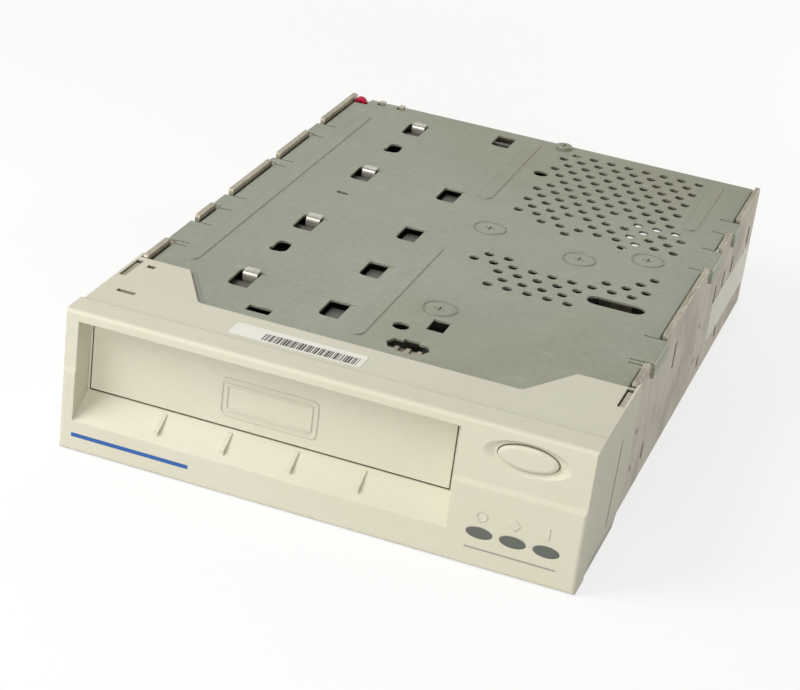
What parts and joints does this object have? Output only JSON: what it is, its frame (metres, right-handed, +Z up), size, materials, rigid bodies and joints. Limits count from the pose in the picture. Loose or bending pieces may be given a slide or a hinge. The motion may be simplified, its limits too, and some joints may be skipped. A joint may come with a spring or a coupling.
{
  "type": "data tape drive",
  "caption": "Half-height cartridge tape drive: vented sheet-steel chassis and cover, ivory bezel with hinged cartridge door, oval eject button, status windows and motorised head bridge.",
  "frame": {"origin": "centre of the bounding box in plan, on the plane of the chassis floor and bezel foot", "axes": "+X to the right seen from the front, +Y from the bezel to the rear connectors, +Z up"},
  "size_m": [0.1484, 0.2135, 0.042],
  "materials": {
    "bezel_plastic": "fine textured warm ivory moulding",
    "cover_steel": "zinc coated satin sheet",
    "chassis_steel": "rolled zinc coated sheet",
    "bright_steel": "bright plated",
    "guide_plastic": "dark grey moulding",
    "window_lens": "smoky grey light pipe",
    "board_green": "solder-resist green",
    "component_black": "moulded black",
    "connector_black": "moulded black",
    "connector_white": "natural nylon",
    "contact_gold": "plated contact",
    "led_clear": "clear epoxy",
    "gear_nylon": "natural acetal",
    "pinion_brass": "turned brass",
    "motor_steel": "drawn can",
    "roller_rubber": "ground rubber",
    "carriage_alloy": "die casting",
    "head_metal": "lapped head face",
    "wire_red": "red insulation"
  },
  "bodies": {
    "chassis": {"chassis_tray": "chassis_steel", "top_cover": "cover_steel", "front_bezel": "bezel_plastic", "eject_switch": "component_black", "light_pipes": "window_lens", "panel_leds": "led_clear", "panel_board": "board_green", "deck_posts": "bright_steel", "deck_screws": "bright_steel", "cover_screws": "cover_steel", "main_board": "board_green", "board_chips": "component_black", "controller_chip": "component_black", "board_capacitors": "component_black", "bus_connector": "connector_black", "power_connector": "connector_white", "power_pins": "contact_gold", "jumper_header": "component_black", "jumper_pins": "contact_gold", "red_wire": "wire_red", "deck_plate": "chassis_steel", "left_guide_rail": "guide_plastic", "right_guide_rail": "guide_plastic", "upper_guide": "guide_plastic", "guide_posts": "bright_steel", "cover_hooks": "bright_steel", "front_clip": "chassis_steel", "slide_pins": "bright_steel", "gear_axle": "bright_steel", "load_motor": "motor_steel", "bridge_pins": "bright_steel", "lever_pins": "bright_steel", "flag_sensors": "component_black"},
    "door": {"cartridge_door": "bezel_plastic"},
    "button": {"eject_button": "bezel_plastic"},
    "bridge": {"head_bridge": "chassis_steel", "capstan_motor": "motor_steel", "capstan_bush": "pinion_brass", "stepper_motor": "motor_steel", "head_yoke": "chassis_steel", "guide_rods": "bright_steel"},
    "cam_slide": {"load_slide": "chassis_steel"},
    "wheel": {"load_gear": "gear_nylon"},
    "pinion": {"motor_pinion": "pinion_brass"},
    "capstan": {"capstan_shaft": "bright_steel", "drive_roller": "roller_rubber"},
    "head": {"head_carriage": "carriage_alloy", "magnetic_head": "head_metal"},
    "screw": {"lead_screw": "bright_steel"},
    "lever_left": {"cartridge_lever": "gear_nylon"},
    "lever_right": {"protect_lever": "gear_nylon"}
  },
  "joints": [
    {"name": "door_hinge", "type": "hinge", "parent": "chassis", "child": "door", "pos_m": [-0.0172, -0.097, 0.0369], "axis": [1, 0, 0], "range_deg": [0, 85], "stiffness_Nm_per_rad": 0.002, "springref_deg": -17.19},
    {"name": "eject_press", "type": "slide", "parent": "chassis", "child": "button", "axis": [0, 1, 0], "range_m": [0, 0.001], "stiffness_N_per_m": 400, "springref_m": -0.0005},
    {"name": "bridge_shift", "type": "slide", "parent": "chassis", "child": "bridge", "axis": [-1, 0, 0], "range_m": [0, 0.004]},
    {"name": "cam_travel", "type": "slide", "parent": "chassis", "child": "cam_slide", "axis": [0, 1, 0], "range_m": [0, 0.016]},
    {"name": "wheel_spin", "type": "hinge", "parent": "chassis", "child": "wheel", "pos_m": [0.0572, 0.0517, 0.018], "axis": [0, 0, 1], "range_deg": [0, 191]},
    {"name": "pinion_spin", "type": "hinge", "parent": "chassis", "child": "pinion", "pos_m": [0.04744, 0.06146, 0.018], "axis": [0, 0, 1], "range_deg": [-688, 0]},
    {"name": "capstan_spin", "type": "hinge", "parent": "bridge", "child": "capstan", "pos_m": [0.045, -0.0183, 0.024], "axis": [0, 0, 1], "continuous": true},
    {"name": "head_lift", "type": "slide", "parent": "bridge", "child": "head", "axis": [0, 0, 1], "range_m": [-0.0025, 0.0025]},
    {"name": "screw_spin", "type": "hinge", "parent": "bridge", "child": "screw", "pos_m": [0.0535, 0.0177, 0.024], "axis": [0, 0, 1], "range_deg": [-451, 451]},
    {"name": "cartridge_sense", "type": "hinge", "parent": "chassis", "child": "lever_left", "pos_m": [-0.034, 0.0617, 0.019], "axis": [0, 0, 1], "range_deg": [0, 20], "stiffness_Nm_per_rad": 0.0005, "springref_deg": -11.46},
    {"name": "protect_sense", "type": "hinge", "parent": "chassis", "child": "lever_right", "pos_m": [-0.004, 0.0617, 0.019], "axis": [0, 0, 1], "range_deg": [0, 20], "stiffness_Nm_per_rad": 0.0005, "springref_deg": -11.46}
  ],
  "couplings": [
    {"joint": "cam_travel", "follows": "bridge_shift", "ratio": 4},
    {"joint": "wheel_spin", "follows": "bridge_shift", "rad_per_m": 833.33},
    {"joint": "pinion_spin", "follows": "bridge_shift", "rad_per_m": -3000},
    {"joint": "screw_spin", "follows": "head_lift", "rad_per_m": 3141.6}
  ]
}
